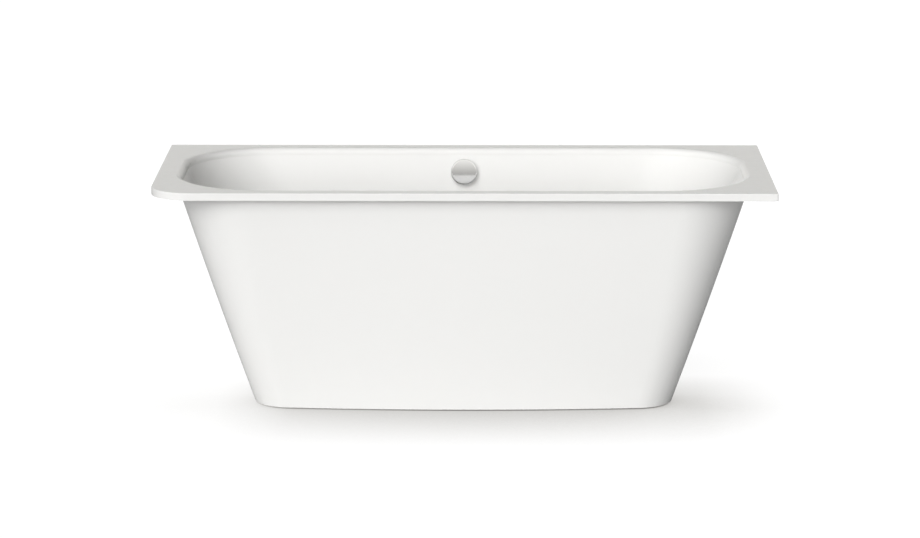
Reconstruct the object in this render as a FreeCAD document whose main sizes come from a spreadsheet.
"""Built-in bathtub for a room corner: a pressed, enamelled steel tub whose flat rim meets two
walls, a raked apron round its free sides, a welded foot frame, a pop-up waste worked by the
overflow knob, and the trap below it. Millimetres; +X along the tub, +Y to the back wall, +Z up,
origin on the floor under the middle of the rim."""

import FreeCAD
import Part
import Sketcher
import math
import os
import re

# Driving dimensions, one cell of the sheet each
SIZES = {
    # pressed tub
    "tub_length": 1650,
    "tub_width": 750,
    "basin_depth": 420,
    "under_height": 177.5,
    "sheet_wall": 2.5,
    "rim_fold": 20,
    "rim_edge_radius": 2,
    "rim_end_width": 52,
    "rim_side_width": 38,
    "free_corner_radius": 110,
    "square_corner_radius": 4,
    "opening_radius": 255,
    "roll_radius": 16,
    "end_lean": 209,
    "side_lean": 71,
    "floor_corner_radius": 200,
    "floor_blend": 90,
    "least_end_flat": 40,
    # apron and its seal
    "apron_wall": 2,
    "apron_end_gap": 0.8,
    "apron_overhang": 32,
    "apron_end_lean": 206,
    "apron_front_lean": 41,
    "apron_end_bulge": 2,
    "apron_front_bulge": 2,
    "apron_base_bow": 16,
    "apron_top_radius": 190,
    "apron_base_radius": 104,
    "apron_floor_gap": 4,
    "apron_back_gap": 6,
    "apron_flange": 16,
    "apron_hem": 32,
    "seal_thick": 3,
    "seal_margin": 0.6,
    # clips that hang the apron under the rim
    "clip_width": 40,
    "clip_sheet": 3,
    "clip_gap": 1,
    "clip_tab": 8,
    "clip_tongue": 12,
    "clip_front_spacing": 360,
    "clip_end_spacing": 260,
    # foot frame
    "support_thick": 9.5,
    "support_length": 90,
    "support_spacing": 270,
    "tube_side": 30,
    "tube_wall": 2,
    "tube_corner": 4,
    "rail_spacing": 260,
    "rail_end_gap": 60,
    "bar_inset": 100,
    "bar_end_gap": 82,
    "cap_thick": 4,
    "cap_plug": 14,
    "cap_play": 0.3,
    # adjustable feet
    "foot_inset": 50,
    "spindle_radius": 6,
    "spindle_play": 0.1,
    "spindle_hole_play": 0.6,
    "spindle_rise": 22,
    "nut_across": 19,
    "nut_height": 10,
    "foot_radius": 28,
    "foot_edge": 6,
    "foot_height": 20,
    "foot_socket": 12,
    "foot_neck_radius": 11,
    # apron brackets and screws
    "bracket_sheet": 3,
    "bracket_width": 30,
    "bracket_tab": 24,
    "bracket_inset": 6,
    "screw_radius": 2.5,
    "screw_play": 0.4,
    "screw_length": 9,
    "screw_head_radius": 5,
    "screw_head": 3,
    # wall brackets
    "wall_sheet": 3,
    "wall_bracket_width": 40,
    "wall_bracket_drop": 75,
    "wall_bracket_step": 38,
    "wall_bracket_offset": 17,
    "wall_bracket_shelf": 16,
    "wall_hole_radius": 4.5,
    "wall_hole_rise": 16,
    "back_hole_spacing": 1100,
    "side_hole_spacing": 240,
    "side_hole_shift": 150,
    # sound mats
    "mat_thick": 3,
    "side_mat_length": 320,
    "side_mat_height": 150,
    "side_mat_drop": 190,
    "side_mat_spacing": 620,
    "floor_mat_length": 150,
    "floor_mat_width": 190,
    "floor_mat_spacing": 320,
    # overflow
    "hole_radius": 26,
    "overflow_drop": 67,
    "gasket_thick": 3,
    "gasket_radius": 36,
    "housing_flange": 5,
    "housing_wall": 3.5,
    "housing_radius": 33,
    "thread_length": 11,
    "thread_play": 0.3,
    "spigot_play": 0.6,
    "spigot_wall": 4.2,
    "flange_radius": 32,
    "flange_thick": 3,
    "hub_radius": 10,
    "hub_length": 12,
    "spoke_width": 6,
    "spoke_depth": 6,
    "axle_radius": 5,
    "axle_play": 0.1,
    "crank_radius": 15,
    "crank_thick": 4,
    "crank_gap": 1,
    "crank_throw": 11,
    "crank_pin_radius": 2.5,
    "crank_pin_length": 5,
    "knob_radius": 37,
    "knob_thick": 9,
    "knob_dome": 2.2,
    "knob_bevel": 2.4,
    "knob_neck_radius": 13,
    "knob_neck_length": 5,
    "knob_play": 0.5,
    "knob_bore_depth": 9,
    # overflow pipe and control cable
    "pipe_radius": 16,
    "pipe_wall": 2.5,
    "pipe_bend": 80,
    "pipe_play": 0.2,
    "pipe_rail_gap": 8,
    "pipe_insert": 22,
    "socket_wall": 3,
    "socket_length": 30,
    "socket_back": 1,
    "pipe_nut_wall": 3,
    "pipe_nut_length": 18,
    "pipe_nut_lip": 4,
    "cable_radius": 3,
    "cable_side": 28,
    "cable_back": 5,
    "cable_play": 0.1,
    "cable_insert": 8,
    "boss_radius": 5,
    "boss_length": 2,
    # waste
    "waste_flange_radius": 35,
    "waste_flange_thick": 2.2,
    "stem_radius": 4,
    "stem_play": 0.1,
    "stem_length": 52,
    "plug_radius": 33,
    "plug_edge": 2.5,
    "plug_dome": 3.5,
    "plug_seal_thick": 2.8,
    "plug_seal_inset": 4,
    "plug_seal_width": 6,
    "lifter_radius": 8,
    "lifter_thick": 4,
    "lifter_arm": 20,
    "lifter_arm_width": 6,
    # trap
    "trap_floor_gap": 14,
    "trap_radius": 46,
    "trap_wall": 3,
    "trap_top_gap": 18,
    "trap_neck": 12,
    "tail_radius": 20,
    "tail_wall": 2.5,
    "tail_clear": 20,
    "union_wall": 5,
    "union_lip": 2,
    "cap_hole_radius": 28,
    "cap_disc_radius": 34,
    "cap_disc": 7,
    "cap_spigot": 8,
    "cap_seal": 1,
    "outlet_radius": 20,
    "outlet_wall": 2.5,
    "outlet_reach": 325,
    "outlet_free": 60,
    "outlet_collar": 6,
    "outlet_collar_rise": 3,
    "outlet_stub": 26,
    "outlet_insert": 20,
    # earth tag
    "tag_width": 24,
    "tag_height": 40,
    "tag_sheet": 2.5,
    "tag_lap": 15,
    "tag_hole_radius": 3.2,
    "tag_hole_rise": 10,
    "tag_offset": 160,
}

# Sizes that follow from the driving ones
DERIVED = {
    # tub
    "half_length": "tub_length / 2",
    "half_width": "tub_width / 2",
    "floor_z": "under_height + sheet_wall",
    "rim_top": "floor_z + basin_depth",
    "rim_under": "rim_top - sheet_wall",
    "fold_z": "rim_top - rim_fold",
    "wall_height": "basin_depth - rim_fold",
    "lip_roll": "min(roll_radius; rim_fold - sheet_wall / 2)",
    "opening_x": "half_length - rim_end_width",
    "wall_x": "opening_x - lip_roll",
    "opening_y": "half_width - rim_side_width",
    "wall_y": "opening_y - lip_roll",
    "wall_corner": "min(opening_radius; opening_y - least_end_flat / 2) - lip_roll",
    "floor_x": "wall_x - end_lean",
    "floor_y": "wall_y - side_lean",
    "floor_corner": "min(floor_corner_radius; floor_y - least_end_flat / 2)",
    "lean_angle": "atan(side_lean / wall_height)",
    "wall_normal": "sheet_wall * cos(lean_angle)",
    # apron
    "apron_top_z": "rim_under - seal_thick",
    "apron_height": "apron_top_z - apron_floor_gap",
    "apron_mid_z": "apron_floor_gap + apron_height / 2",
    "apron_rake": "(apron_top_z - fold_z) * apron_end_lean / apron_height",
    "apron_top_x": "wall_x + sheet_wall + apron_end_gap + apron_wall + apron_rake",
    "apron_top_y": "half_width - apron_overhang",
    "apron_base_x": "apron_top_x - apron_end_lean",
    "apron_base_y": "apron_top_y - apron_front_lean",
    "apron_mid_x": "apron_top_x - apron_end_lean / 2 + apron_end_bulge",
    "apron_mid_y": "apron_top_y - apron_front_lean / 2 + apron_front_bulge",
    "apron_mid_radius": "sqrt(apron_top_radius * apron_base_radius)",
    "apron_mid_bow": "apron_base_bow / 2",
    "apron_base_sweep": "(bar_x^2 + apron_base_bow^2) / (2 * apron_base_bow)",
    "apron_mid_sweep": "(bar_x^2 + apron_mid_bow^2) / (2 * apron_mid_bow)",
    "apron_back_y": "half_width - apron_back_gap",
    "hem_top": "apron_floor_gap + apron_wall",
    # frame
    "rail_top": "under_height - support_thick",
    "rail_z": "rail_top - tube_side",
    "bar_z": "rail_z - tube_side",
    "rail_y": "rail_spacing / 2",
    "rail_end_x": "apron_base_x - rail_end_gap",
    "bar_x": "rail_end_x - bar_inset",
    "bar_end_y": "apron_base_y - bar_end_gap",
    "foot_y": "bar_end_y - foot_inset",
    "bush_z": "bar_z - nut_height",
    "spindle_bore": "spindle_radius + spindle_play",
    "screw_x": "apron_base_x - apron_hem / 2",
    "screw_y": "apron_base_y - apron_hem / 2",
    # overflow, along its own axis from the inner face of the back wall
    "overflow_z": "rim_top - overflow_drop",
    "overflow_y": "wall_y - side_lean * (overflow_drop - rim_fold) / wall_height",
    "spigot_radius": "hole_radius - spigot_play",
    "spigot_bore": "spigot_radius - spigot_wall",
    "thread_bore": "spigot_radius + thread_play",
    "housing_face": "-(wall_normal + gasket_thick)",
    "housing_bore": "housing_radius - housing_wall",
    "spigot_end": "housing_face - thread_length",
    "axle_bore": "axle_radius + axle_play",
    "crank_face": "-hub_length - crank_gap",
    "knob_foot": "flange_thick + knob_play",
    "knob_back": "knob_foot + knob_neck_length",
    "knob_face": "knob_back + knob_thick",
    "socket_bore": "pipe_radius + pipe_play",
    "socket_radius": "socket_bore + socket_wall",
    "socket_end": "housing_radius + socket_length",
    "pipe_axis": "housing_face - socket_back - socket_radius",
    "housing_back": "pipe_axis - socket_radius - socket_back",
    "pipe_bore": "pipe_radius - pipe_wall",
    "pipe_end": "socket_end - pipe_insert",
    "pipe_nut_bore": "socket_radius + pipe_play",
    "pipe_nut_radius": "pipe_nut_bore + pipe_nut_wall",
    "boss_end": "housing_radius + boss_length",
    "cable_axis": "pipe_axis - cable_back",
    "cable_bore": "cable_radius + cable_play",
    "cable_end": "boss_end - cable_insert",
    "bend_tangent": "pipe_bend * tan((90 deg - lean_angle) / 2)",
    # waste
    "inlet_z": "rail_z - pipe_rail_gap - pipe_radius",
    "chamber_z": "inlet_z - socket_radius - socket_back",
    "waste_face": "under_height - gasket_thick",
    "waste_spigot_end": "waste_face - thread_length",
    "hub_z": "waste_spigot_end",
    "flange_top": "floor_z + waste_flange_thick",
    "plug_z": "flange_top + plug_seal_thick",
    "stem_bore": "stem_radius + stem_play",
    "stem_z": "plug_z - stem_length",
    "tail_bore": "tail_radius - tail_wall",
    "tail_end": "trap_floor_gap + tail_clear",
    # trap
    "trap_top": "chamber_z - trap_top_gap",
    "neck_top": "trap_top + trap_neck",
    "neck_bore": "tail_radius + pipe_play",
    "neck_radius": "neck_bore + socket_wall",
    "union_bore": "neck_radius + pipe_play",
    "union_radius": "union_bore + union_wall",
    "outlet_z": "(trap_floor_gap + trap_top) / 2",
    "outlet_bore": "outlet_radius - outlet_wall",
    "stub_bore": "outlet_radius + pipe_play",
    "stub_radius": "stub_bore + socket_wall",
    "stub_end": "trap_radius + outlet_stub",
    "outlet_start": "stub_end - outlet_insert",
    "outlet_stop": "outlet_reach - outlet_free",
    "outlet_nut_bore": "stub_radius + pipe_play",
    "outlet_nut_radius": "outlet_nut_bore + pipe_nut_wall",
}

PLANES = {"top": "XY_Plane", "front": "XZ_Plane", "side": "YZ_Plane"}
FEET = {
    "front_left": (-1, -1),
    "front_right": (1, -1),
    "rear_left": (-1, 1),
    "rear_right": (1, 1),
}
SIDES = (-1, 1)
SPOKES = 3

doc = FreeCAD.newDocument("bathtub")
sheet = doc.addObject("Spreadsheet::Sheet", "sizes")
for row, (alias, number) in enumerate(SIZES.items(), 1):
    sheet.set(f"A{row}", alias)
    sheet.set(f"B{row}", str(number))
    sheet.setAlias(f"B{row}", alias)
doc.recompute()


# Expressions and placements

def expand(text):
    """Size names in text become cell references, and derived names their own formulas."""

    def swap(match):
        name = match.group(0)
        if name in DERIVED:
            return f"({expand(DERIVED[name])})"
        return f"sizes.{name}" if name in SIZES else name

    return re.sub(r"[A-Za-z_][A-Za-z_0-9]*", swap, str(text))


def value(text):
    """The present number behind an expression."""
    number = sheet.evalExpression(expand(text))
    return float(getattr(number, "Value", number))


def bind(item, **sizes):
    """Ties the item's properties to expressions on the sheet."""
    for name, text in sizes.items():
        item.setExpression(name, expand(text))
    return item


def place(item, x="0", y="0", z="0", axis=(0, 0, 1), angle="0"):
    """Puts the item at a point, turned about an axis through it."""
    turn = f"rotation(vector({axis[0]}; {axis[1]}; {axis[2]}); {expand(angle)})"
    item.setExpression("Placement", f"placement(vector({expand(x)}; {expand(y)}; {expand(z)}); {turn})")
    return item


def on_overflow(item):
    """Stands the item on the overflow hole: its own +Z points out of the back wall into the basin,
    and its own +Y up that wall."""
    return place(item, "0", "overflow_y", "overflow_z", (1, 0, 0), "90 deg - lean_angle")


# Sketches and solids

def arc_between(start, end, radius, turn):
    """The shorter arc of that radius, and which of its ends lie at start and at end."""
    chord = end - start
    rise = math.sqrt(max(radius**2 - chord.Length**2 / 4, 0))
    left = FreeCAD.Vector(-chord.y, chord.x, 0).normalize()
    centre = (start + end) * 0.5 + left * rise * turn
    first, last = (start, end) if turn > 0 else (end, start)
    angle_first = math.atan2(first.y - centre.y, first.x - centre.x)
    angle_last = math.atan2(last.y - centre.y, last.x - centre.x)
    if angle_last <= angle_first:
        angle_last += 2 * math.pi
    circle = Part.Circle(centre, FreeCAD.Vector(0, 0, 1), radius)
    ends = (1, 2) if turn > 0 else (2, 1)
    return Part.ArcOfCircle(circle, angle_first, angle_last), ends


def outline(sketch, corners, arcs=None, closed=True):
    """Draws sides through the corners, each corner pinned to its two expressions. arcs gives some
    sides a radius and a turn: 1 bends to the left of the way round, -1 to the right."""
    arcs = arcs or {}
    points = [FreeCAD.Vector(value(x), value(y), 0) for x, y in corners]
    sides = len(points) if closed else len(points) - 1
    drawn = []
    for side in range(sides):
        start, end = points[side], points[(side + 1) % len(points)]
        if side in arcs:
            curve, ends = arc_between(start, end, value(arcs[side][0]), arcs[side][1])
        else:
            curve, ends = Part.LineSegment(start, end), (1, 2)
        drawn.append((sketch.addGeometry(curve), *ends))
    pins = [(geometry, start) for geometry, start, _ in drawn]
    if not closed:
        pins.append((drawn[-1][0], drawn[-1][2]))
    for (geometry, end), corner, point in zip(pins, corners, points):
        for kind, text, number in zip(("DistanceX", "DistanceY"), corner, point):
            pin = sketch.addConstraint(Sketcher.Constraint(kind, -1, 1, geometry, end, number))
            sketch.setExpression(f"Constraints[{pin}]", expand(text))
    for side in range(sides if closed else sides - 1):
        here, there = drawn[side], drawn[(side + 1) % sides]
        sketch.addConstraint(Sketcher.Constraint("Coincident", here[0], here[2], there[0], there[1]))
    for side, (radius, _) in arcs.items():
        pin = sketch.addConstraint(Sketcher.Constraint("Radius", drawn[side][0], value(radius)))
        sketch.setExpression(f"Constraints[{pin}]", expand(radius))
    return sketch


def circle(sketch, radius, x="0", y="0"):
    """A circle of that radius with its centre pinned."""
    centre = FreeCAD.Vector(value(x), value(y), 0)
    drawn = sketch.addGeometry(Part.Circle(centre, FreeCAD.Vector(0, 0, 1), value(radius)))
    for kind, text, number in (("DistanceX", x, centre.x), ("DistanceY", y, centre.y)):
        pin = sketch.addConstraint(Sketcher.Constraint(kind, -1, 1, drawn, 3, number))
        sketch.setExpression(f"Constraints[{pin}]", expand(text))
    pin = sketch.addConstraint(Sketcher.Constraint("Radius", drawn, value(radius)))
    sketch.setExpression(f"Constraints[{pin}]", expand(radius))
    return sketch


def rectangle(sketch, x_low, x_high, y_low, y_high, radii=("0", "0", "0", "0")):
    """A rectangle whose corners, from the low one on round to the left, may each be rounded."""
    spots = [(x_low, y_low, 1, 1), (x_high, y_low, -1, 1), (x_high, y_high, -1, -1), (x_low, y_high, 1, -1)]
    corners, arcs = [], {}
    for number, ((x, y, step_x, step_y), radius) in enumerate(zip(spots, radii)):
        if radius == "0":
            corners.append((x, y))
            continue
        along_x = (f"{x} + {step_x} * ({radius})", y)
        along_y = (x, f"{y} + {step_y} * ({radius})")
        arcs[len(corners)] = (radius, 1)
        corners += [along_y, along_x] if number % 2 == 0 else [along_x, along_y]
    return outline(sketch, corners, arcs)


def new_body(name):
    return doc.addObject("PartDesign::Body", name)


def new_sketch(body, plane, height="0"):
    """A sketch on one of the body's own planes, lifted off it along the plane's normal."""
    sketch = body.newObject("Sketcher::SketchObject", f"{body.Name}_sketch")
    role = PLANES[plane]
    support = next(item for item in body.Origin.OriginFeatures if item.Role == role)
    sketch.AttachmentSupport = [(support, "")]
    sketch.MapMode = "FlatFace"
    sketch.setExpression("AttachmentOffset.Base.z", expand(height))
    return sketch


def pad(body, sketch, length, middle=False, reverse=False):
    feature = body.newObject("PartDesign::Pad", f"{body.Name}_pad")
    feature.Profile = sketch
    feature.Midplane = middle
    feature.Reversed = reverse
    return bind(feature, Length=length)


def pocket(body, sketch, length, reverse=False):
    feature = body.newObject("PartDesign::Pocket", f"{body.Name}_pocket")
    feature.Profile = sketch
    feature.Reversed = reverse
    return bind(feature, Length=length)


def loft(body, kind, sections, ruled):
    feature = body.newObject(f"PartDesign::{kind}", f"{body.Name}_loft")
    feature.Profile = sections[0]
    feature.Sections = sections[1:]
    feature.Ruled = ruled
    return feature


def fillet(body, radius, wanted):
    """Rounds the edges of the body's last feature that wanted picks."""
    doc.recompute()
    base = body.Tip
    edges = [f"Edge{n}" for n, edge in enumerate(base.Shape.Edges, 1) if wanted(edge)]
    feature = body.newObject("PartDesign::Fillet", f"{body.Name}_fillet")
    feature.Base = (base, edges)
    return bind(feature, Radius=radius)


def turned(name, corners, arcs=None):
    """A body turned about its own Z axis from an outline of (radius, height) corners."""
    body = new_body(name)
    sketch = outline(new_sketch(body, "front"), corners, arcs)
    feature = body.newObject("PartDesign::Revolution", f"{name}_turn")
    feature.Profile = sketch
    feature.ReferenceAxis = (sketch, ["V_Axis"])
    feature.Angle = 360
    return body


def ring(name, inner, outer, low, high):
    return turned(name, [(inner, low), (outer, low), (outer, high), (inner, high)])


def sheet_metal(name, plane, corners, width, at):
    """A folded strip: its section drawn on a plane, padded both ways from where it stands."""
    body = new_body(name)
    height = f"-({at})" if plane == "front" else at
    pad(body, outline(new_sketch(body, plane, height), corners), width, middle=True)
    return body


def swept(name, radius, bore, side, start, end, axis):
    """A round piece that leaves the waste level along +Y, bends up and ends along the back wall at
    the overflow: side is its distance from the middle, axis its depth behind the wall's inner face."""
    line_y = f"overflow_y - ({axis}) * cos(lean_angle)"
    line_z = f"overflow_z + ({axis}) * sin(lean_angle)"
    corner_y = f"{line_y} + (inlet_z - ({line_z})) * tan(lean_angle)"
    body = new_body(name)
    path = outline(
        new_sketch(body, "side", side),
        [
            (start, "inlet_z"),
            (f"{corner_y} - bend_tangent", "inlet_z"),
            (f"{corner_y} + bend_tangent * sin(lean_angle)", "inlet_z + bend_tangent * cos(lean_angle)"),
            (f"{line_y} - ({end}) * sin(lean_angle)", f"{line_z} - ({end}) * cos(lean_angle)"),
        ],
        {1: ("pipe_bend", 1)},
        closed=False,
    )
    section = circle(new_sketch(body, "front", f"-({start})"), radius, side, "inlet_z")
    if bore:
        circle(section, bore, side, "inlet_z")
    feature = body.newObject("PartDesign::AdditivePipe", f"{name}_sweep")
    feature.Profile = section
    feature.Spine = (path, [])
    return body


def box(name, x, y, z, length, width, height):
    """A block centred on x and y that stands on z."""
    item = bind(doc.addObject("Part::Box", name), Length=length, Width=width, Height=height)
    return place(item, f"{x} - ({length}) / 2", f"{y} - ({width}) / 2", z)


def rod(name, radius, length, x="0", y="0", z="0", axis=(0, 0, 1), angle="0"):
    """A cylinder from a point along +Z, or along +Z turned about an axis."""
    item = bind(doc.addObject("Part::Cylinder", name), Radius=radius, Height=length)
    return place(item, x, y, z, axis, angle)


def rod_y(name, radius, start, end, x="0", z="0"):
    """A cylinder along +Y between two stations."""
    return rod(name, radius, f"{end} - ({start})", x, start, z, (1, 0, 0), "-90")


def nut(name, x, y, z):
    """A hexagon nut that stands on z round the spindle's axis."""
    blank = doc.addObject("Part::Prism", f"{name}_blank")
    blank.Polygon = 6
    bind(blank, Circumradius="nut_across / sqrt(3)", Height="nut_height")
    place(blank, x, y, z)
    return cut(name, blank, rod(f"{name}_bore", "spindle_bore", "nut_height", x, y, z))


def spokes(name, inner, outer, low):
    """Flat bars out from a hub to the wall round it, each sunk into both to join them."""
    bars = []
    for number in range(SPOKES):
        angle = f"{360 // SPOKES * number} deg"
        bar = bind(
            doc.addObject("Part::Box", f"{name}_{number}"),
            Length=f"{outer} - ({inner})",
            Width="spoke_width",
            Height="spoke_depth",
        )
        x = f"({inner}) * cos({angle}) + spoke_width / 2 * sin({angle})"
        y = f"({inner}) * sin({angle}) - spoke_width / 2 * cos({angle})"
        bars.append(place(bar, x, y, low, (0, 0, 1), angle))
    return bars


def cut(name, base, *tools):
    item = doc.addObject("Part::Cut", name)
    item.Base = base
    item.Tool = tools[0] if len(tools) == 1 else fuse(f"{name}_tools", *tools)
    return item


def fuse(name, *pieces):
    item = doc.addObject("Part::MultiFuse", name)
    item.Shapes = list(pieces)
    return item


def group(name, pieces):
    item = doc.addObject("Part::Compound", name)
    item.Links = list(pieces)
    return item


def flat_at(height):
    """Picks the edges that lie level at that height."""
    level = value(height)
    return lambda edge: abs(edge.BoundBox.ZMin - level) < 1e-3 and abs(edge.BoundBox.ZMax - level) < 1e-3


def within(reach_x, reach_y):
    """Picks the edges that stay inside a rectangle about the middle."""
    limit_x, limit_y = value(reach_x), value(reach_y)

    def wanted(edge):
        span = edge.BoundBox
        return max(-span.XMin, span.XMax) < limit_x and max(-span.YMin, span.YMax) < limit_y

    return wanted


# Pressed tub

def rim_outline(sketch, inset):
    """The rim in plan: three square corners for the walls and one round free corner."""
    free, square = f"free_corner_radius - ({inset})", "square_corner_radius"
    reach_x, reach_y = f"half_length - ({inset})", f"half_width - ({inset})"
    radii = (free, square, square, square)
    return rectangle(sketch, f"-({reach_x})", reach_x, f"-({reach_y})", reach_y, radii)


def oval(sketch, reach_x, reach_y, radius):
    """The basin in plan at one level: a long rectangle with wide round corners."""
    return rectangle(sketch, f"-({reach_x})", reach_x, f"-({reach_y})", reach_y, (radius,) * 4)


def make_rim():
    """The folded rim with the rolled lip down to where the basin walls start to lean."""
    body = new_body("rim_pressing")
    pad(body, rim_outline(new_sketch(body, "top", "fold_z"), "0"), "rim_fold")
    hollow = rim_outline(new_sketch(body, "top", "fold_z"), "sheet_wall")
    outer = ("wall_x + sheet_wall", "wall_y + sheet_wall", "wall_corner + sheet_wall")
    oval(hollow, *outer)
    pocket(body, hollow, "rim_fold - sheet_wall", reverse=True)
    level, on_basin = flat_at("rim_under"), within("opening_x", "opening_y")
    fillet(body, "lip_roll - sheet_wall", lambda edge: level(edge) and on_basin(edge))
    mouth = oval(new_sketch(body, "top", "rim_top"), "wall_x", "wall_y", "wall_corner")
    pocket(body, mouth, "rim_fold")
    level = flat_at("rim_top")
    fillet(body, "lip_roll", lambda edge: level(edge) and on_basin(edge))
    fillet(body, "rim_edge_radius", lambda edge: level(edge) and not on_basin(edge))
    return body


def basin_solid(name, grow, base_z):
    """The basin as a solid down to base_z, its walls moved out by grow, its floor edge blended."""
    slip = f"({grow}) / wall_height"
    top = (f"wall_x + ({grow})", f"wall_y + ({grow})", f"wall_corner + ({grow})")
    base = (
        f"floor_x + ({grow}) - end_lean * {slip}",
        f"floor_y + ({grow}) - side_lean * {slip}",
        f"floor_corner + ({grow})",
    )
    body = new_body(name)
    sections = [oval(new_sketch(body, "top", "fold_z"), *top), oval(new_sketch(body, "top", base_z), *base)]
    loft(body, "AdditiveLoft", sections, ruled=True)
    fillet(body, f"floor_blend + ({grow})", flat_at(base_z))
    return body


def make_tub_shell():
    block = basin_solid("basin_block", "sheet_wall", "under_height")
    hollow = basin_solid("basin_hollow", "0", "floor_z")
    overflow_hole = on_overflow(new_body("overflow_hole"))
    disc = circle(new_sketch(overflow_hole, "top"), "hole_radius")
    pad(overflow_hole, disc, "4 * sheet_wall", middle=True)
    waste_hole = rod("waste_hole", "hole_radius", "3 * sheet_wall", z="under_height - sheet_wall")
    return cut("tub_shell", fuse("tub_blank", make_rim(), block), hollow, overflow_hole, waste_hole)


# Apron

def both_ends(right):
    """A path from the back left to the back right, from its right half."""
    return [(f"-({x})", y) for x, y in reversed(right)] + right


def straight_plan(x, y, radius, back="apron_back_y"):
    """The front and both ends with round corners, as corners and arcs."""
    right = [(f"{x} - ({radius})", f"-({y})"), (x, f"{radius} - ({y})"), (x, back)]
    return both_ends(right), {1: (radius, 1), 3: (radius, 1)}


def apron_plan(level, grow, back="apron_back_y"):
    """The apron's plan at one of its three levels, moved out by grow. Below the top its front bows
    out in an arc that is at apron_y beside the cross bars and runs smoothly into both corner arcs."""
    x, y, radius = (f"apron_{level}_{part} + ({grow})" for part in ("x", "y", "radius"))
    if level == "top":
        return straight_plan(x, y, radius, back)
    sweep, bow = f"apron_{level}_sweep", f"apron_{level}_bow"
    corner_x = f"(apron_{level}_x - apron_{level}_radius)"
    centres_apart = f"({sweep} - apron_{level}_radius)"
    centre_drop = f"sqrt({centres_apart}^2 - {corner_x}^2)"
    front_centre = f"{sweep} - {bow} - apron_{level}_y"
    stretch = f"({sweep} + ({grow})) / {centres_apart}"
    touch = (f"{corner_x} * {stretch}", f"{front_centre} - {centre_drop} * {stretch}")
    arcs = {1: (radius, 1), 2: (f"{sweep} + ({grow})", 1), 3: (radius, 1)}
    return both_ends([touch, (x, f"{front_centre} - {centre_drop}"), (x, back)]), arcs


def apron_block(body, level, grow, back):
    """The apron's plan at one of its three levels, filled in."""
    sketch = new_sketch(body, "top", f"apron_{level}_z" if level != "base" else "apron_floor_gap")
    return outline(sketch, *apron_plan(level, grow, back))


def band(sketch, outer, inner):
    """A band round the front and both ends, between two plans."""
    corners = outer[0] + inner[0][::-1]
    last = len(corners) - 2
    turned_back = {last - side: (radius, -1) for side, (radius, _) in inner[1].items()}
    return outline(sketch, corners, outer[1] | turned_back)


def make_apron_shell():
    body = new_body("apron_pressing")
    levels = ("base", "mid", "top")
    outer = [apron_block(body, level, "0", "apron_back_y") for level in levels]
    loft(body, "AdditiveLoft", outer, ruled=False)
    past_back = "apron_back_y + apron_hem"
    inner = [apron_block(body, level, "-apron_wall", past_back) for level in levels]
    loft(body, "SubtractiveLoft", inner, ruled=False)
    seat = "-apron_wall / 2"
    flange = new_sketch(body, "top", "apron_top_z")
    band(flange, apron_plan("top", "apron_flange"), apron_plan("top", seat))
    pad(body, flange, "apron_wall", reverse=True)
    hem = new_sketch(body, "top", "apron_floor_gap")
    band(hem, apron_plan("base", seat), apron_plan("base", "-apron_hem"))
    pad(body, hem, "apron_wall")
    spots = enumerate(screw_spots())
    return cut("apron_shell", body, *[screw_hole(f"apron_hole_{number}", x, y) for number, (x, y) in spots])


def screw_spots():
    """Where the hem is screwed to the brackets: two on the front, two on each end."""
    front = [(f"{side} * bar_x", "-screw_y") for side in SIDES]
    ends = [(f"{side} * screw_x", f"{row} * rail_y") for side in SIDES for row in SIDES]
    return front + ends


def make_apron_seal():
    """Foam tape between the apron's flange and the underside of the rim."""
    body = new_body("seal_band")
    edges = ("opening_x", "apron_top_y", "apron_top_radius")
    inner = straight_plan(*[f"{edge} + seal_margin" for edge in edges])
    tape = band(new_sketch(body, "top", "apron_top_z"), apron_plan("top", "apron_flange"), inner)
    pad(body, tape, "seal_thick")
    return body


def make_apron_clips():
    """Folded clips welded under the rim, their tongues below the apron's flange."""
    front = [("side", f"{step} * clip_front_spacing", "apron_top_y", -1) for step in (-1.5, -0.5, 0.5, 1.5)]
    ends = [
        ("front", f"{row} * clip_end_spacing / 2", "apron_top_x", side) for side in SIDES for row in SIDES
    ]
    clips = []
    for number, (plane, at, edge, side) in enumerate(front + ends):
        leg_in = f"{edge} + apron_flange + clip_gap"
        leg_out = f"{leg_in} + clip_sheet"
        tab_end = f"{leg_out} + clip_tab"
        tongue = f"{leg_out} - clip_tongue"
        flange_under = "apron_top_z - apron_wall"
        section = [
            (tongue, flange_under),
            (leg_in, flange_under),
            (leg_in, "rim_under"),
            (tab_end, "rim_under"),
            (tab_end, "rim_under - clip_sheet"),
            (leg_out, "rim_under - clip_sheet"),
            (leg_out, f"{flange_under} - clip_sheet"),
            (tongue, f"{flange_under} - clip_sheet"),
        ]
        section = [(f"{side} * ({reach})", z) for reach, z in section]
        clips.append(sheet_metal(f"apron_clip_{number}", plane, section, "clip_width", at))
    return group("apron_clips", clips)


def apron_bracket(name, plane, at, side, carrier_end, carrier_z, edge):
    """A bracket welded under a frame tube that runs down and out onto the apron's hem."""
    leg_out = f"{carrier_end} - bracket_inset"
    leg_in = f"{leg_out} - bracket_sheet"
    tab_end = f"{leg_in} - bracket_tab"
    toe = f"{edge} - bracket_inset"
    section = [
        (tab_end, carrier_z),
        (leg_out, carrier_z),
        (leg_out, "hem_top + bracket_sheet"),
        (toe, "hem_top + bracket_sheet"),
        (toe, "hem_top"),
        (leg_in, "hem_top"),
        (leg_in, f"{carrier_z} - bracket_sheet"),
        (tab_end, f"{carrier_z} - bracket_sheet"),
    ]
    section = [(f"{side} * ({reach})", z) for reach, z in section]
    return sheet_metal(name, plane, section, "bracket_width", at)


def screw_hole(name, x, y):
    """A hole right through the hem and the bracket on it."""
    depth = "apron_wall + bracket_sheet"
    return rod(name, "screw_radius + screw_play", f"2 * ({depth})", x, y, f"hem_top - ({depth})")


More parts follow.
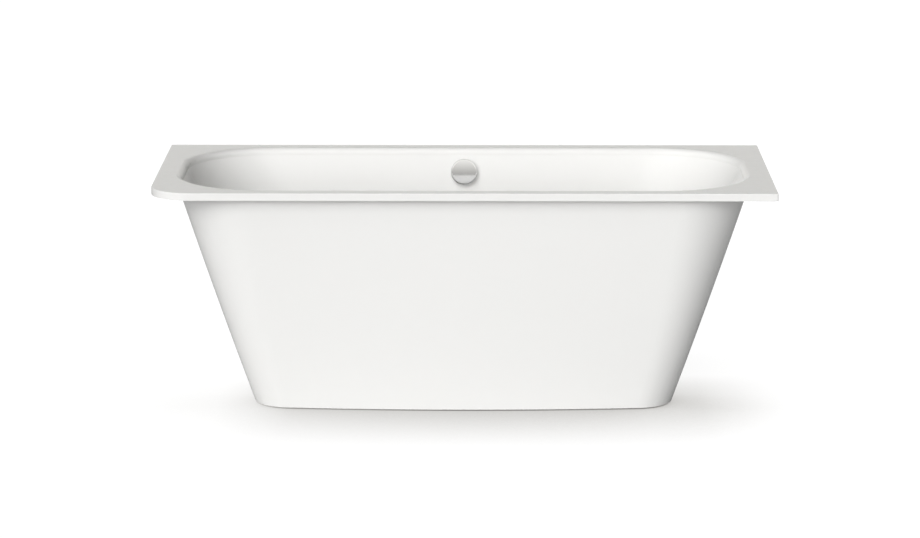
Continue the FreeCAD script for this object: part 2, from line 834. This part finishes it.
def make_front_apron_brackets():
    brackets = []
    for number, side in enumerate(SIDES):
        at = f"{side} * bar_x"
        strip = apron_bracket(f"front_strip_{number}", "side", at, -1, "bar_end_y", "bar_z", "apron_base_y")
        hole = screw_hole(f"front_hole_{number}", at, "-screw_y")
        brackets.append(cut(f"front_bracket_{number}", strip, hole))
    return group("front_apron_brackets", brackets)


def make_end_apron_brackets():
    brackets = []
    for number, (side, row) in enumerate((side, row) for side in SIDES for row in SIDES):
        at = f"{row} * rail_y"
        name = f"end_strip_{number}"
        strip = apron_bracket(name, "front", at, side, "rail_end_x", "rail_z", "apron_base_x")
        hole = screw_hole(f"end_hole_{number}", f"{side} * screw_x", at)
        brackets.append(cut(f"end_bracket_{number}", strip, hole))
    return group("end_apron_brackets", brackets)


def make_apron_screws():
    """Pan head screws driven up through the hem."""
    head_z = "apron_floor_gap - screw_head"
    shank_end = "apron_floor_gap + screw_length"
    section = [
        ("0", head_z),
        ("screw_head_radius", head_z),
        ("screw_head_radius", "apron_floor_gap"),
        ("screw_radius", "apron_floor_gap"),
        ("screw_radius", shank_end),
        ("0", shank_end),
    ]
    screws = [
        place(turned(f"apron_screw_{number}", section), x, y)
        for number, (x, y) in enumerate(screw_spots())
    ]
    return group("apron_screws", screws)


# Foot frame

def square_tube(name, half, x, y, z, turn="0"):
    """A square tube along X, or turned about the vertical, that stands on z."""
    body = new_body(name)
    sketch = new_sketch(body, "side")
    reach, bore = "tube_side / 2", "tube_side / 2 - tube_wall"
    outer, inner = "tube_corner", "tube_corner - tube_wall"
    rectangle(sketch, f"-({reach})", reach, "0", "tube_side", (outer,) * 4)
    rectangle(sketch, f"-({bore})", bore, "tube_wall", "tube_side - tube_wall", (inner,) * 4)
    pad(body, sketch, f"2 * ({half})", middle=True)
    return place(body, x, y, z, (0, 0, 1), turn)


def make_cross_bar(name, side):
    """A tube across the tub under both rails, drilled for the two spindles at its ends."""
    x = f"{side} * bar_x"
    tube = square_tube(f"{name}_tube", "bar_end_y", x, "0", "bar_z", "90")
    radius, depth = "spindle_radius + spindle_hole_play", "2 * tube_side"
    holes = [
        rod(f"{name}_hole_{number}", radius, depth, x, f"{row} * foot_y", "bar_z - tube_side / 2")
        for number, row in enumerate(SIDES)
    ]
    return cut(name, tube, *holes)


def end_cap(name, x, y, z, turn):
    """A plastic stopper: a plate over the tube's end and a plug inside it, out along the tube."""
    body = new_body(name)
    plate = new_sketch(body, "side")
    rectangle(plate, "-tube_side / 2", "tube_side / 2", "0", "tube_side", ("tube_corner",) * 4)
    pad(body, plate, "cap_thick")
    plug = new_sketch(body, "side")
    reach = "tube_side / 2 - tube_wall - cap_play"
    low, high = "tube_wall + cap_play", "tube_side - tube_wall - cap_play"
    rectangle(plug, f"-({reach})", reach, low, high, ("tube_corner - tube_wall",) * 4)
    pad(body, plug, "cap_plug", reverse=True)
    return place(body, x, y, z, angle=turn)


def make_tube_end_caps():
    caps = []
    for number, (side, row) in enumerate(FEET.values()):
        turn = "0" if side > 0 else "180"
        caps.append(end_cap(f"rail_cap_{number}", f"{side} * rail_end_x", f"{row} * rail_y", "rail_z", turn))
        turn = f"{row} * 90"
        caps.append(end_cap(f"bar_cap_{number}", f"{side} * bar_x", f"{row} * bar_end_y", "bar_z", turn))
    return group("tube_end_caps", caps)


def make_floor_supports():
    """Rubber blocks on the rails that carry the floor of the basin."""
    blocks = []
    for row in SIDES:
        for x in ("bar_x", "bar_x - support_spacing", "support_spacing - bar_x", "-bar_x"):
            name = f"support_{len(blocks)}"
            sizes = ("support_length", "tube_side", "support_thick")
            blocks.append(box(name, x, f"{row} * rail_y", "rail_top", *sizes))
    return group("floor_supports", blocks)


def foot_nuts(name, z):
    """One nut round each of the four spindles."""
    nuts = [
        nut(f"{name}_{corner}", f"{side} * bar_x", f"{row} * foot_y", z)
        for corner, (side, row) in FEET.items()
    ]
    return group(name, nuts)


def make_foot_spindle(corner, side, row):
    length = "rail_z + spindle_rise - (foot_height - foot_socket)"
    spot = (f"{side} * bar_x", f"{row} * foot_y", "foot_height - foot_socket")
    return rod(f"foot_spindle_{corner}", "spindle_radius", length, *spot)


def make_foot_pad(corner, side, row):
    """A round foot with a sloping top and a blind socket for the spindle."""
    socket = "spindle_bore"
    section = [
        ("0", "0"),
        ("foot_radius", "0"),
        ("foot_radius", "foot_edge"),
        ("foot_neck_radius", "foot_height"),
        (socket, "foot_height"),
        (socket, "foot_height - foot_socket"),
        ("0", "foot_height - foot_socket"),
    ]
    return place(turned(f"foot_pad_{corner}", section), f"{side} * bar_x", f"{row} * foot_y")


# Wall brackets

def wall_bracket(name, plane, at, wall):
    """A folded hook: its plate lies on the wall below the rim's fold, its shelf bears the rim."""
    plate_in = f"{wall} - wall_sheet"
    leg_out = f"{wall} - wall_bracket_offset"
    leg_in = f"{leg_out} - wall_sheet"
    shelf_in = f"{leg_in} - wall_bracket_shelf"
    step_z = "rim_under - wall_bracket_step"
    base_z = "rim_under - wall_bracket_drop"
    section = [
        (wall, base_z),
        (wall, f"{step_z} + wall_sheet"),
        (leg_out, f"{step_z} + wall_sheet"),
        (leg_out, "rim_under"),
        (shelf_in, "rim_under"),
        (shelf_in, "rim_under - wall_sheet"),
        (leg_in, "rim_under - wall_sheet"),
        (leg_in, step_z),
        (plate_in, step_z),
        (plate_in, base_z),
    ]
    return sheet_metal(name, plane, section, "wall_bracket_width", at)


def make_back_wall_brackets():
    brackets = []
    for number, side in enumerate(SIDES):
        at = f"{side} * back_hole_spacing / 2"
        strip = wall_bracket(f"back_strip_{number}", "side", at, "half_width")
        hole_z = "rim_under - wall_bracket_drop + wall_hole_rise"
        start, end = "half_width - 2 * wall_sheet", "half_width + wall_sheet"
        hole = rod_y(f"back_hole_{number}", "wall_hole_radius", start, end, at, hole_z)
        brackets.append(cut(f"back_bracket_{number}", strip, hole))
    return group("back_wall_brackets", brackets)


def make_side_wall_brackets():
    brackets = []
    for number, row in enumerate(SIDES):
        at = f"side_hole_shift + {row} * side_hole_spacing / 2"
        strip = wall_bracket(f"side_strip_{number}", "front", at, "half_length")
        hole_z = "rim_under - wall_bracket_drop + wall_hole_rise"
        spot = ("half_length - 2 * wall_sheet", at, hole_z)
        hole = rod(f"side_hole_{number}", "wall_hole_radius", "3 * wall_sheet", *spot, (0, 1, 0), "90")
        brackets.append(cut(f"side_bracket_{number}", strip, hole))
    return group("side_wall_brackets", brackets)


# Sound mats

def make_side_sound_mats(name, row):
    """Two bitumen mats on the outside of a long wall, parallel to it."""
    drop_z = "rim_top - side_mat_drop"
    wall_y = "wall_y - side_lean * (side_mat_drop - rim_fold) / wall_height"
    sizes = ("side_mat_length", "side_mat_height", "mat_thick")
    mats = [
        box(f"{name}_{number}", f"{side} * side_mat_spacing / 2", "0", "-wall_normal - mat_thick", *sizes)
        for number, side in enumerate(SIDES)
    ]
    tilt = f"{row} * (90 deg - lean_angle)"
    return place(group(name, mats), "0", f"{row} * ({wall_y})", drop_z, (1, 0, 0), tilt)


def make_floor_sound_mats():
    sizes = ("floor_mat_length", "floor_mat_width", "mat_thick")
    mats = [
        box(f"floor_mat_{number}", f"{side} * floor_mat_spacing / 2", "0", "under_height - mat_thick", *sizes)
        for number, side in enumerate(SIDES)
    ]
    return group("floor_sound_mats", mats)


# Overflow

def make_overflow_knob():
    """A shallow domed knob with a bevelled edge on a narrow neck."""
    rim_in = "knob_radius - knob_bevel"
    bore_end = "knob_foot + knob_bore_depth"
    dome_radius = f"(({rim_in})^2 + knob_dome^2) / (2 * knob_dome)"
    section = [
        ("axle_radius", "knob_foot"),
        ("knob_neck_radius", "knob_foot"),
        ("knob_neck_radius", "knob_back"),
        ("knob_radius", "knob_back"),
        ("knob_radius", "knob_face - knob_bevel"),
        (rim_in, "knob_face"),
        ("0", "knob_face + knob_dome"),
        ("0", bore_end),
        ("axle_radius", bore_end),
    ]
    return on_overflow(turned("overflow_knob", section, {5: (dome_radius, 1)}))


def make_overflow_flange():
    """A face ring with a threaded spigot through the wall and a hub for the axle on spokes."""
    collar = turned(
        "overflow_collar",
        [
            ("spigot_bore", "spigot_end"),
            ("spigot_radius", "spigot_end"),
            ("spigot_radius", "0"),
            ("flange_radius", "0"),
            ("flange_radius", "flange_thick"),
            ("spigot_bore", "flange_thick"),
        ],
    )
    hub = ring("overflow_hub", "axle_bore", "hub_radius", "-hub_length", "flange_thick")
    bars = spokes("overflow_spoke", "hub_radius - axle_play", "spigot_bore + axle_play", "-spoke_depth")
    return on_overflow(fuse("overflow_flange", collar, hub, *bars))


def make_overflow_axle():
    """The axle from the knob to a crank disc whose pin pulls the cable."""
    axle_end = "knob_foot + knob_bore_depth"
    axle = rod("knob_axle", "axle_radius", f"{axle_end} - crank_face", z="crank_face")
    disc = rod("crank_disc", "crank_radius", "crank_thick", z="crank_face - crank_thick")
    pin_z = "crank_face - crank_thick - crank_pin_length"
    pin = rod("crank_pin", "crank_pin_radius", "crank_pin_length", "crank_throw", "0", pin_z)
    return on_overflow(fuse("overflow_axle", axle, disc, pin))


def make_overflow_gasket():
    washer = ring("overflow_gasket", "hole_radius", "gasket_radius", "housing_face", "-wall_normal")
    return on_overflow(washer)


def make_overflow_housing():
    """A cup behind the wall: a flange on the gasket, a socket for the pipe and a boss for the cable."""
    cup = turned(
        "overflow_cup",
        [
            ("0", "housing_back"),
            ("housing_radius", "housing_back"),
            ("housing_radius", "housing_face - housing_flange"),
            ("gasket_radius", "housing_face - housing_flange"),
            ("gasket_radius", "housing_face"),
            ("0", "housing_face"),
        ],
    )
    socket = rod_y("overflow_socket", "socket_radius", "-socket_end", "0", z="pipe_axis")
    boss = rod_y("overflow_boss", "boss_radius", "-boss_end", "0", "cable_side", "cable_axis")
    hollow = turned(
        "overflow_hollow",
        [
            ("0", "housing_back + housing_wall"),
            ("housing_bore", "housing_back + housing_wall"),
            ("housing_bore", "spigot_end"),
            ("thread_bore", "spigot_end"),
            ("thread_bore", "housing_face + gasket_thick"),
            ("0", "housing_face + gasket_thick"),
        ],
    )
    bore = rod_y("overflow_way", "pipe_bore", "-socket_end", "0", z="pipe_axis")
    seat = rod_y("overflow_pipe_seat", "socket_bore", "-socket_end", "-pipe_end", z="pipe_axis")
    wire = rod_y("overflow_cable_way", "cable_bore", "-boss_end", "0", "cable_side", "cable_axis")
    solid = fuse("overflow_housing_blank", cup, socket, boss)
    return on_overflow(cut("overflow_housing", solid, hollow, bore, seat, wire))


def make_overflow_pipe():
    return swept("overflow_pipe", "pipe_radius", "pipe_bore", "0", "pipe_end", "pipe_end", "pipe_axis")


def make_control_cable():
    return swept("control_cable", "cable_radius", None, "cable_side", "cable_end", "cable_end", "cable_axis")


def cap_nut(name, bore, outer, lip_bore, length):
    """A round nut over a socket's end: its lip closes round the pipe just past the socket."""
    return turned(
        name,
        [
            (bore, "0"),
            (outer, "0"),
            (outer, length),
            (lip_bore, length),
            (lip_bore, f"{length} - pipe_nut_lip"),
            (bore, f"{length} - pipe_nut_lip"),
        ],
    )


def make_pipe_nuts():
    """The two nuts that hold the overflow pipe in its sockets."""
    sizes = ("pipe_nut_bore", "pipe_nut_radius", "socket_bore", "pipe_nut_length")
    start = "socket_end + pipe_nut_lip - pipe_nut_length"
    waste_nut = place(cap_nut("waste_pipe_nut", *sizes), "0", start, "inlet_z", (1, 0, 0), "-90")
    top_nut = place(cap_nut("overflow_pipe_nut", *sizes), "0", f"-({start})", "pipe_axis", (1, 0, 0), "90")
    return group("pipe_nuts", [waste_nut, on_overflow(group("upper_pipe_nut", [top_nut]))])


# Waste

def make_waste_flange():
    """The flat grate ring in the floor: a threaded spigot, and spokes to the plug stem's guide."""
    collar = turned(
        "waste_collar",
        [
            ("spigot_bore", "waste_spigot_end"),
            ("spigot_radius", "waste_spigot_end"),
            ("spigot_radius", "floor_z"),
            ("waste_flange_radius", "floor_z"),
            ("waste_flange_radius", "flange_top"),
            ("spigot_bore", "flange_top"),
        ],
    )
    guide = ring("stem_guide", "stem_bore", "hub_radius", "hub_z", "hub_z + hub_length")
    bars = spokes("waste_spoke", "hub_radius - axle_play", "spigot_bore + axle_play", "hub_z")
    return fuse("waste_flange", collar, guide, *bars)


def make_waste_gasket():
    return ring("waste_gasket", "hole_radius", "gasket_radius", "waste_face", "under_height")


def make_waste_body():
    """The chamber below the floor: sockets for the overflow pipe and the cable, and the dip tube."""
    blank = turned(
        "waste_blank",
        [
            ("0", "tail_end"),
            ("tail_radius", "tail_end"),
            ("tail_radius", "chamber_z"),
            ("housing_radius", "chamber_z"),
            ("housing_radius", "waste_face - housing_flange"),
            ("gasket_radius", "waste_face - housing_flange"),
            ("gasket_radius", "waste_face"),
            ("0", "waste_face"),
        ],
    )
    socket = rod_y("waste_socket", "socket_radius", "0", "socket_end", z="inlet_z")
    boss = rod_y("waste_boss", "boss_radius", "0", "boss_end", "cable_side", "inlet_z")
    hollow = turned(
        "waste_hollow",
        [
            ("0", "tail_end - tail_wall"),
            ("tail_bore", "tail_end - tail_wall"),
            ("tail_bore", "chamber_z + housing_wall"),
            ("housing_bore", "chamber_z + housing_wall"),
            ("housing_bore", "waste_spigot_end"),
            ("thread_bore", "waste_spigot_end"),
            ("thread_bore", "under_height"),
            ("0", "under_height"),
        ],
    )
    bore = rod_y("waste_way", "pipe_bore", "0", "socket_end", z="inlet_z")
    seat = rod_y("waste_pipe_seat", "socket_bore", "pipe_end", "socket_end", z="inlet_z")
    wire = rod_y("waste_cable_way", "cable_bore", "0", "boss_end", "cable_side", "inlet_z")
    return cut("waste_body", fuse("waste_body_blank", blank, socket, boss), hollow, bore, seat, wire)


def make_plug_cap():
    """The low domed cap that covers the waste."""
    dome_radius = "(plug_radius^2 + plug_dome^2) / (2 * plug_dome)"
    section = [
        ("0", "plug_z"),
        ("plug_radius", "plug_z"),
        ("plug_radius", "plug_z + plug_edge"),
        ("0", "plug_z + plug_edge + plug_dome"),
    ]
    return turned("plug_cap", section, {2: (dome_radius, 1)})


def make_plug_seal():
    outer = "plug_radius - plug_seal_inset"
    return ring("plug_seal", f"{outer} - plug_seal_width", outer, "flange_top", "plug_z")


def make_plug_stem():
    return rod("plug_stem", "stem_radius", "stem_length", z="stem_z")


def make_plug_lifter():
    """The foot of the stem with the arm that the cable lifts."""
    low = "stem_z - lifter_thick"
    foot = rod("lifter_foot", "lifter_radius", "lifter_thick", z=low)
    arm = box("lifter_lever", "lifter_arm / 2", "0", low, "lifter_arm", "lifter_arm_width", "lifter_thick")
    return fuse("plug_lifter", foot, arm)


# Trap

def make_trap_union_nut():
    """The nut round the trap's neck, its lip closing on the dip tube."""
    section = [
        ("union_bore", "trap_top + socket_wall / 2"),
        ("union_radius", "trap_top + socket_wall / 2"),
        ("union_radius", "neck_top + union_lip"),
        ("neck_bore", "neck_top + union_lip"),
        ("neck_bore", "neck_top"),
        ("union_bore", "neck_top"),
    ]
    return turned("trap_union_nut", section)


def make_trap_body():
    """A drum round the dip tube, with the neck on top, the outlet stub and a hole to clean it."""
    drum = turned(
        "trap_drum",
        [
            ("0", "trap_floor_gap"),
            ("trap_radius", "trap_floor_gap"),
            ("trap_radius", "trap_top"),
            ("neck_radius", "trap_top"),
            ("neck_radius", "neck_top"),
            ("0", "neck_top"),
        ],
    )
    stub = rod_y("trap_stub", "stub_radius", "0", "stub_end", z="outlet_z")
    hollow = turned(
        "trap_hollow",
        [
            ("0", "trap_floor_gap - trap_wall"),
            ("cap_hole_radius", "trap_floor_gap - trap_wall"),
            ("cap_hole_radius", "trap_floor_gap + trap_wall"),
            ("trap_radius - trap_wall", "trap_floor_gap + trap_wall"),
            ("trap_radius - trap_wall", "trap_top - trap_wall"),
            ("neck_bore", "trap_top - trap_wall"),
            ("neck_bore", "neck_top + trap_wall"),
            ("0", "neck_top + trap_wall"),
        ],
    )
    bore = rod_y("trap_way", "outlet_bore", "0", "stub_end", z="outlet_z")
    seat = rod_y("trap_pipe_seat", "stub_bore", "outlet_start", "stub_end", z="outlet_z")
    return cut("trap_body", fuse("trap_blank", drum, stub), hollow, bore, seat)


def make_trap_cap():
    seat = "trap_floor_gap - cap_seal"
    spigot = "cap_hole_radius - cap_play"
    section = [
        ("0", f"{seat} - cap_disc"),
        ("cap_disc_radius", f"{seat} - cap_disc"),
        ("cap_disc_radius", seat),
        (spigot, seat),
        (spigot, f"{seat} + cap_spigot"),
        ("0", f"{seat} + cap_spigot"),
    ]
    return turned("trap_cap", section)


def make_trap_cap_seal():
    low = "trap_floor_gap - cap_seal"
    return ring("trap_cap_seal", "cap_hole_radius", "cap_disc_radius", low, "trap_floor_gap")


def make_outlet_pipe():
    """A straight pipe with a stop collar, so that a set length is left for the house drain."""
    section = [
        ("outlet_bore", "0"),
        ("outlet_radius", "0"),
        ("outlet_radius", "outlet_stop - outlet_collar - outlet_start"),
        ("outlet_radius + outlet_collar_rise", "outlet_stop - outlet_collar - outlet_start"),
        ("outlet_radius + outlet_collar_rise", "outlet_stop - outlet_start"),
        ("outlet_radius", "outlet_stop - outlet_start"),
        ("outlet_radius", "outlet_reach - outlet_start"),
        ("outlet_bore", "outlet_reach - outlet_start"),
    ]
    return place(turned("outlet_pipe", section), "0", "outlet_start", "outlet_z", (1, 0, 0), "-90")


def make_outlet_nut():
    sizes = ("outlet_nut_bore", "outlet_nut_radius", "stub_bore", "pipe_nut_length")
    start = "stub_end + pipe_nut_lip - pipe_nut_length"
    return place(cap_nut("outlet_nut", *sizes), "0", start, "outlet_z", (1, 0, 0), "-90")


# Earth tag

def make_earth_tag():
    """A plate welded to the back of the rear rail, with a hole for the bonding wire's screw."""
    base_z = "rail_z + tag_lap - tag_height"
    face_y = "rail_y + tube_side / 2"
    sizes = ("tag_width", "tag_sheet", "tag_height")
    plate = box("tag_plate", "tag_offset", f"{face_y} + tag_sheet / 2", base_z, *sizes)
    start, end = f"{face_y} - tag_sheet", f"{face_y} + 2 * tag_sheet"
    hole = rod_y("tag_hole", "tag_hole_radius", start, end, "tag_offset", f"{base_z} + tag_hole_rise")
    return cut("earth_tag", plate, hole)


def check_and_export(nodes):
    """Stops if anything failed to build, then writes one STEP file for each sub-part."""
    doc.recompute()
    failed = [item.Label for item in doc.Objects if {"Invalid", "Error"} & set(item.State)]
    if failed:
        raise SystemExit(f"failed objects: {failed}")
    for name, item in nodes.items():
        item.Label = name
        if item.Shape.isNull() or not item.Shape.isValid() or not item.Shape.Solids:
            raise SystemExit(f"{name} has no valid solid")
    os.makedirs("parts", exist_ok=True)
    for name, item in nodes.items():
        item.Shape.exportStep(f"parts/{name}.step")
        print(f"{name}: {len(item.Shape.Solids)} solid(s), {item.Shape.Volume / 1000:.1f} cm3")


NODES = {
    "tub_shell": make_tub_shell(),
    "apron_shell": make_apron_shell(),
    "apron_seal": make_apron_seal(),
    "apron_clips": make_apron_clips(),
    "front_apron_brackets": make_front_apron_brackets(),
    "end_apron_brackets": make_end_apron_brackets(),
    "apron_screws": make_apron_screws(),
    "front_rail": square_tube("front_rail", "rail_end_x", "0", "-rail_y", "rail_z"),
    "rear_rail": square_tube("rear_rail", "rail_end_x", "0", "rail_y", "rail_z"),
    "left_cross_bar": make_cross_bar("left_cross_bar", -1),
    "right_cross_bar": make_cross_bar("right_cross_bar", 1),
    "tube_end_caps": make_tube_end_caps(),
    "floor_supports": make_floor_supports(),
    "thread_bushes": foot_nuts("thread_bushes", "bush_z"),
    "lock_nuts": foot_nuts("lock_nuts", "bush_z - nut_height"),
    "back_wall_brackets": make_back_wall_brackets(),
    "side_wall_brackets": make_side_wall_brackets(),
    "front_sound_mats": make_side_sound_mats("front_sound_mats", -1),
    "rear_sound_mats": make_side_sound_mats("rear_sound_mats", 1),
    "floor_sound_mats": make_floor_sound_mats(),
    "overflow_knob": make_overflow_knob(),
    "overflow_flange": make_overflow_flange(),
    "overflow_axle": make_overflow_axle(),
    "overflow_gasket": make_overflow_gasket(),
    "overflow_housing": make_overflow_housing(),
    "overflow_pipe": make_overflow_pipe(),
    "pipe_nuts": make_pipe_nuts(),
    "control_cable": make_control_cable(),
    "waste_flange": make_waste_flange(),
    "waste_gasket": make_waste_gasket(),
    "waste_body": make_waste_body(),
    "plug_cap": make_plug_cap(),
    "plug_seal": make_plug_seal(),
    "plug_stem": make_plug_stem(),
    "plug_lifter": make_plug_lifter(),
    "trap_union_nut": make_trap_union_nut(),
    "trap_body": make_trap_body(),
    "trap_cap": make_trap_cap(),
    "trap_cap_seal": make_trap_cap_seal(),
    "outlet_nut": make_outlet_nut(),
    "outlet_pipe": make_outlet_pipe(),
    "earth_tag": make_earth_tag(),
}
for corner, (side, row) in FEET.items():
    NODES[f"foot_spindle_{corner}"] = make_foot_spindle(corner, side, row)
    NODES[f"foot_pad_{corner}"] = make_foot_pad(corner, side, row)
check_and_export(NODES)
